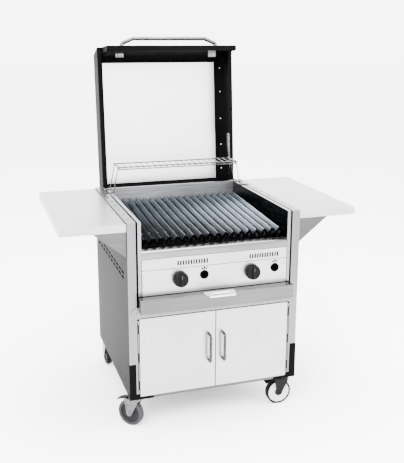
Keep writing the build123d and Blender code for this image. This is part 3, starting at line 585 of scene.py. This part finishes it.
# ---- Grates and drip channels ----
# Bent steel channels, side by side, blued by heat, with dark specks thickening towards the front left; the ridges
# carry a painted highlight and the facets facing right painted shade.
# Below them hang plain channels that lead the drippings forward; they are coloured near black, painted shade of
# the pit seen through the gaps.
def heated_steel(name, dark, light, speck_low, speck_high, ridges=None):
    """Blue-grey steel with lines along the channel, dark specks thickening towards the front left, painted shade
    on facets that face right, and painted highlights along the ridges when ridges are given.
    """
    finish = brushed_metal(name, dark, light, 0.4, (260, 9, 260), 5.0)
    nodes, links = finish.node_tree.nodes, finish.node_tree.links
    shader = nodes["Principled BSDF"]
    place = next(node for node in nodes if node.type == "TEX_COORD")
    tones = next(node for node in nodes if node.type == "VALTORGB")
    # Dark specks, denser towards the front and towards the left.
    specks = nodes.new("ShaderNodeTexNoise")
    specks.inputs["Scale"].default_value = 240.0
    specks.inputs["Detail"].default_value = 6.0
    specks.inputs["Roughness"].default_value = 0.7
    split = nodes.new("ShaderNodeSeparateXYZ")
    forward = nodes.new("ShaderNodeMapRange")
    forward.inputs["From Min"].default_value = speck_high
    forward.inputs["From Max"].default_value = speck_low
    forward.inputs["To Min"].default_value = -0.34
    forward.inputs["To Max"].default_value = 0.10
    leftward = nodes.new("ShaderNodeMapRange")
    leftward.inputs["From Min"].default_value = 0.2
    leftward.inputs["From Max"].default_value = -0.3
    leftward.inputs["To Min"].default_value = 0.0
    leftward.inputs["To Max"].default_value = 0.20
    front_left = nodes.new("ShaderNodeMath")
    front_left.operation = "ADD"
    sum_up = nodes.new("ShaderNodeMath")
    sum_up.operation = "ADD"
    sharp = nodes.new("ShaderNodeMapRange")
    sharp.inputs["From Min"].default_value = 0.52
    sharp.inputs["From Max"].default_value = 0.60
    specked = nodes.new("ShaderNodeMix")
    specked.data_type = "RGBA"
    specked.inputs["B"].default_value = (0.002, 0.002, 0.002, 1)
    links.new(place.outputs["Object"], specks.inputs["Vector"])
    links.new(place.outputs["Object"], split.inputs["Vector"])
    links.new(split.outputs["Y"], forward.inputs["Value"])
    links.new(split.outputs["X"], leftward.inputs["Value"])
    links.new(forward.outputs["Result"], front_left.inputs[0])
    links.new(leftward.outputs["Result"], front_left.inputs[1])
    links.new(specks.outputs["Fac"], sum_up.inputs[0])
    links.new(front_left.outputs["Value"], sum_up.inputs[1])
    links.new(sum_up.outputs["Value"], sharp.inputs["Value"])
    links.new(sharp.outputs["Result"], specked.inputs["Factor"])
    links.new(tones.outputs["Color"], specked.inputs["A"])
    # Painted shade: facets whose normal points towards +x turn near black.
    bearing = nodes.new("ShaderNodeNewGeometry")
    facing = nodes.new("ShaderNodeSeparateXYZ")
    away = nodes.new("ShaderNodeMapRange")
    away.inputs["From Min"].default_value = 0.1
    away.inputs["From Max"].default_value = 0.5
    shaded = nodes.new("ShaderNodeMix")
    shaded.data_type = "RGBA"
    shaded.inputs["B"].default_value = (0.006, 0.007, 0.009, 1)
    links.new(bearing.outputs["Normal"], facing.inputs["Vector"])
    links.new(facing.outputs["X"], away.inputs["Value"])
    links.new(away.outputs["Result"], shaded.inputs["Factor"])
    links.new(specked.outputs["Result"], shaded.inputs["A"])
    # Painted highlight: a thin pale band along each ridge of the channels.
    if ridges:
        pitch, half = ridges
        apart = nodes.new("ShaderNodeMath")
        apart.operation = "ABSOLUTE"
        inward = nodes.new("ShaderNodeMath")
        inward.operation = "SUBTRACT"
        inward.inputs[1].default_value = 0.001 + pitch / 2
        wrapped = nodes.new("ShaderNodeMath")
        wrapped.operation = "PINGPONG"
        wrapped.inputs[1].default_value = pitch / 2
        on_ridge = nodes.new("ShaderNodeMath")
        on_ridge.operation = "GREATER_THAN"
        on_ridge.inputs[1].default_value = half - 0.0012
        wear_and_highlight = nodes.new("ShaderNodeMix")
        wear_and_highlight.data_type = "RGBA"
        wear_and_highlight.inputs["B"].default_value = (0.17, 0.20, 0.235, 1)
        links.new(split.outputs["X"], apart.inputs[0])
        links.new(apart.outputs["Value"], inward.inputs[0])
        links.new(inward.outputs["Value"], wrapped.inputs[0])
        links.new(wrapped.outputs["Value"], on_ridge.inputs[0])
        links.new(on_ridge.outputs["Value"], wear_and_highlight.inputs["Factor"])
        links.new(shaded.outputs["Result"], wear_and_highlight.inputs["A"])
        links.new(wear_and_highlight.outputs["Result"], shader.inputs["Base Color"])
    else:
        links.new(shaded.outputs["Result"], shader.inputs["Base Color"])
    return finish


grate_low, grate_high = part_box("grate_left")
channel_pitch = 0.0348
ridge_half = 0.014
grate_steel = heated_steel(
    "grate_steel", (0.028, 0.036, 0.045), (0.10, 0.128, 0.158),
    grate_low.y, grate_high.y, (channel_pitch, ridge_half)
)
# Near-black colour: painted shade of the pit seen through the gaps between the grate channels.
drip_channel_shade = heated_steel(
    "drip_channel_shade", (0.003, 0.003, 0.0035), (0.010, 0.011, 0.012), grate_low.y, grate_high.y
)
for side in ("left", "right"):
    pressed(f"grate_{side}", 0.0005, grate_steel)
    pressed(f"drip_channels_{side}", 0.0004, drip_channel_shade)


# ---- Warming rack ----
# Welded round wire, nickel plated; its four legs drop into the sockets of the rails.
# The plating has yellowed a little.
rack_wire = brushed_metal("rack_wire", (0.03, 0.03, 0.03), (0.09, 0.088, 0.085), 0.25, (40, 40, 40), 12.0)
pressed("warming_rack", 0, rack_wire, smooth=50)


# ---- Drip tray ----
# A shallow stainless pan with a folded front that stands ahead of the cabinet.
# A flat plate with a finger slot is welded on top to pull it by; its near-white colour is a painted highlight.
tray_sheet = brushed_metal("tray_sheet", (0.05, 0.05, 0.051), (0.13, 0.13, 0.133), 0.24, (4, 900, 900), 1.6)
pull_painted_highlight = brushed_metal("pull_painted_highlight", (0.8, 0.8, 0.81), (0.95, 0.95, 0.96), 0.26, (300, 300, 300))
dress("drip_tray", dull_sheet)
pressed("tray_front", 0.0006, tray_sheet)
pressed("tray_handle", 0.0010, pull_painted_highlight)
pressed("tray_guides", 0.0006, post_sheet)


# ---- Doors ----
# Folded leaves of ground stainless that turn on rods held by the posts.
# Their grain runs upright, and each has a bent bar of bright steel to pull, coloured near black as a painted
# reflection of dark surroundings.
door_sheet = brushed_metal("door_sheet", (0.24, 0.241, 0.248), (0.42, 0.421, 0.43), 0.3, (900, 900, 4), 1.1)
# The hood handle's steel is coloured dark: painted reflection of dark surroundings.
grip_dark_reflection = brushed_metal("grip_dark_reflection", (0.04, 0.04, 0.041), (0.17, 0.17, 0.175), 0.2, (90, 90, 90), 8.0)
handle_dark_reflection = brushed_metal(
    "handle_dark_reflection", (0.008, 0.008, 0.0083), (0.055, 0.055, 0.057), 0.22, (90, 90, 90), 8.0
)
# Painted shade: the outer 8.5 mm of each leaf, beside the posts, turns near black where the gap lies in shadow.
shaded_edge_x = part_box("door_right")[1].x - 0.0085
door_leaf_edge_shade = darkened(door_sheet, "door_leaf_edge_shade", shaded_edge_x, True, (0.012, 0.012, 0.0125))
for side in ("left", "right"):
    pressed(f"door_{side}", 0.0012, door_leaf_edge_shade, 3)
    pressed(f"door_handle_{side}", 0, handle_dark_reflection, smooth=50)


# ---- Door gap shade ----
# Black strips behind the gaps beside, between and above the doors: painted shade in the gaps.
# They are fixed to the cabinet a little behind the folded leaves.
door_low, door_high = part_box("door_right")
leaf_back = door_high.y + 0.0012
for name, span in (("middle", (-0.010, 0.010)), ("left", (-0.3355, -0.316)), ("right", (0.316, 0.3355))):
    low = (span[0], leaf_back, door_low.z + 0.002)
    high = (span[1], leaf_back + 0.0015, door_high.z - 0.001)
    shade_box(f"door_gap_shade_{name}", low, high)


# ---- Shelves and gussets ----
# Folded stainless trays turned upside down, with their grain running front to back.
# Gussets of plain sheet hold them to the side panels.
shelf_sheet = brushed_metal(
    "shelf_sheet", (0.26, 0.263, 0.272), (0.5, 0.504, 0.518), 0.32, (900, 5, 900), 1.0
)
for side in ("left", "right"):
    pressed(f"shelf_{side}", 0.0015, shelf_sheet, 3)
pressed("shelf_brackets", 0.0005, dull_sheet)


# ---- Hood ----
# A pressed shell enamelled charcoal, lined with a bright stainless sheet.
# It hangs on two steel arms that turn on pins under the rails.
hood_coat = enamel("hood_coat", (0.0008, 0.0008, 0.001), 0.5, 0.0001, (0.0018, 0.0018, 0.002), 0.012)
liner_sheet = brushed_metal("liner_sheet", (0.62, 0.62, 0.635), (0.97, 0.97, 0.98), 0.3, (900, 900, 4), 1.2)
pressed("hood_shell", 0.0012, hood_coat, 3)
pressed("hood_liner", 0.0004, liner_sheet)
pressed("hood_hinge_arms", 0.0005, bright_steel)
dress("hood_hinge_brackets", plated_pipe)
pressed("hood_handle", 0, grip_dark_reflection, smooth=50)


# ---- Hood rivets ----
# Domed steel rivets that hold the liner, five on each of its sloping strips.
# The heads are set from inside, so only the domes show.
hinge = next(joint for joint in frame["joints"] if joint["name"] == "hood_hinge")
hinge_point = Vector(hinge["pos_m"])
hood_lean = math.radians(5)
hood_forward = Vector((0, math.sin(hood_lean), math.cos(hood_lean)))
hood_up = Vector((0, math.cos(hood_lean), -math.sin(hood_lean)))
strip_across = 0.312
strip_up = 0.1447
slope_across = 0.039
slope_up = 0.030
rivet_places = (0.062, 0.184, 0.317, 0.453, 0.571)
dome_radius = 0.0045
dome_height = 0.0024
dome_inward = 0.0008    # how far a dome is raised off the strip, towards the inside of the hood
bpy.ops.mesh.primitive_uv_sphere_add(segments=20, ring_count=10, radius=dome_radius)
dome = bpy.context.object
dome.scale = (1, 1, dome_height / dome_radius)
bake_place(dome)
domes = []
for side in (-1, 1):
    inward = (Vector((-side * slope_across, 0, 0)) - hood_up * slope_up).normalized()
    turn = Vector((0, 0, 1)).rotation_difference(inward).to_matrix().to_4x4()
    for forward in rivet_places:
        spot = Vector((side * strip_across, 0, 0)) + hinge_point + hood_forward * forward
        spot += hood_up * strip_up
        spot += inward * dome_inward
        head = dome.copy()
        head.data = dome.data.copy()
        head.data.transform(Matrix.Translation(spot) @ turn)
        bpy.context.scene.collection.objects.link(head)
        domes.append(head)
bpy.data.objects.remove(dome)
hand_over(joined(domes, "rivet_heads"), "hood_rivets", bright_steel, 60)


# ---- Casters ----
# Plated swivel forks under fixed plates, with pressed wheels in rubber tyres.
# The front pair has black brake pedals; the front right caster has a black fork and a pale hub.
def ring(radius, bore, width, at, facing):
    """A band with a hole through it: a slab whose inset ends are cut out and bridged."""
    band = disc(radius, width, at, facing, 72)
    inset_ends(band, facing, [(radius - bore, 0)])
    bpy.ops.object.mode_set(mode="EDIT")
    bpy.ops.mesh.delete(type="FACE")
    bpy.ops.mesh.select_all(action="DESELECT")
    bpy.ops.mesh.select_mode(type="EDGE")
    bpy.ops.mesh.select_non_manifold()
    bpy.ops.mesh.bridge_edge_loops()
    bpy.ops.mesh.select_all(action="SELECT")
    bpy.ops.mesh.normals_make_consistent(inside=False)
    bpy.ops.object.mode_set(mode="OBJECT")
    return band


zinc = brushed_metal("zinc", (0.04, 0.04, 0.042), (0.14, 0.14, 0.143), 0.34, (70, 70, 70), 14.0)
black_zinc = enamel("black_zinc", (0.0015, 0.0015, 0.0016), 0.42)
grey_rubber = moulded("grey_rubber", (0.022, 0.022, 0.023), 0.6)
black_rubber = moulded("black_rubber", (0.002, 0.002, 0.0022), 0.55)
grey_hub = moulded("grey_hub", (0.008, 0.0083, 0.009), 0.45)
pale_hub = moulded("pale_hub", (0.42, 0.425, 0.435), 0.4)
tyre_width = 0.028
hub_width = 0.024
cap_width = 0.0284
casters = {
    "front_left": (grey_rubber, grey_hub, zinc, 0.044),
    "front_right": (black_rubber, pale_hub, black_zinc, 0.048),
    "rear_left": (black_rubber, grey_hub, zinc, 0.046),
    "rear_right": (black_rubber, grey_hub, zinc, 0.046),
}
dress("caster_plates", zinc)
for name, (tread, hub_plastic, plating, bore) in casters.items():
    roll = next(joint for joint in frame["joints"] if joint["name"] == f"{name}_roll")
    axle = Vector(roll["axis"])
    centre = Vector(roll["pos_m"])
    wheel_radius = centre.z
    tyre = ring(wheel_radius, bore, tyre_width, centre, axle)
    round_edges(tyre, 0.005, 4)
    tyre.name = f"caster_tyre_{name}"
    hand_over(tyre, f"caster_wheel_{name}", tread, 40)
    hub = disc(bore, hub_width, centre, axle, 72)
    steps = [
        (0.0035, 0), (0.0012, -0.0045), (bore - 0.026, -0.0015), (0.0015, 0.0055),
        (0.007, 0.001), (0.0012, 0.003), (0.003, 0),
    ]
    inset_ends(hub, axle, steps)
    round_edges(hub, 0.0006, 2, 50)
    hub.name = f"caster_hub_{name}"
    only(hub)
    bpy.ops.object.shade_smooth_by_angle(angle=math.radians(40))
    hub.data.materials.append(hub_plastic)
    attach(hub, body_of[f"caster_wheel_{name}"])
    cap_radius = 0.0185 if name == "front_right" else 0.011
    cap = disc(cap_radius, cap_width, centre, axle, 48)
    round_edges(cap, 0.0012, 2)
    cap.name = f"caster_cap_{name}"
    cap.data.materials.append(black_rubber if name == "front_right" else zinc)
    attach(cap, body_of[f"caster_wheel_{name}"])
    pressed(f"caster_fork_{name}", 0.0006, plating)
pedal_plastic = moulded("pedal_plastic", (0.002, 0.002, 0.0022), 0.5)
for name in ("front_left", "front_right"):
    pressed(f"brake_pedal_{name}", 0.0006, pedal_plastic)


# ---- Studio: floor, light and camera ----
# A plain pale floor, a large soft light at the left, another ahead and above.
# The camera stands a little left of the grill's middle and looks down on the grates.
paper = bpy.data.materials.new("paper")
paper.use_nodes = True
paper_shader = paper.node_tree.nodes["Principled BSDF"]
paper_shader.inputs["Base Color"].default_value = (0.93, 0.93, 0.93, 1)
paper_shader.inputs["Roughness"].default_value = 0.9
bpy.ops.mesh.primitive_plane_add(size=60, location=(0, 0, 0))
floor = bpy.context.object
floor.name = "floor"
floor.data.materials.append(paper)

world = bpy.data.worlds.new("studio")
bpy.context.scene.world = world
world.use_nodes = True
world.node_tree.nodes["Background"].inputs["Color"].default_value = (1, 1, 1, 1)
world.node_tree.nodes["Background"].inputs["Strength"].default_value = 7.0


def soft_light(name, at, towards, width, height, power):
    """A rectangular studio light that faces a point."""
    bpy.ops.object.light_add(type="AREA", location=at)
    lamp = bpy.context.object
    lamp.name = name
    lamp.data.shape = "RECTANGLE"
    lamp.data.size = width
    lamp.data.size_y = height
    lamp.data.energy = power
    lamp.rotation_euler = (Vector(towards) - Vector(at)).to_track_quat("-Z", "Y").to_euler()


soft_light("key", (-1.6, -2.6, 3.2), (0, 0, 0.8), 1.8, 1.8, 420)
soft_light("fill", (3.0, -1.8, 2.0), (0, 0, 0.8), 1.6, 2.2, 150)
soft_light("top", (0.2, 0.3, 3.6), (0, 0, 0.8), 2.2, 2.2, 330)

bpy.ops.object.camera_add(location=(-0.9391, -3.06085, 1.6243))
camera = bpy.context.object
yaw, pitch, roll = 0.3178, 0.2493, 0.0048
turned = Matrix.Rotation(-yaw, 4, "Z")
tilted = Matrix.Rotation(math.pi / 2 - pitch, 4, "X")
rolled = Matrix.Rotation(roll, 4, "Z")
view = turned @ tilted @ rolled
camera.rotation_euler = view.to_euler()
camera.data.sensor_width = 36
camera.data.lens = 56.255
camera.data.shift_y = -0.0356
bpy.context.scene.camera = camera
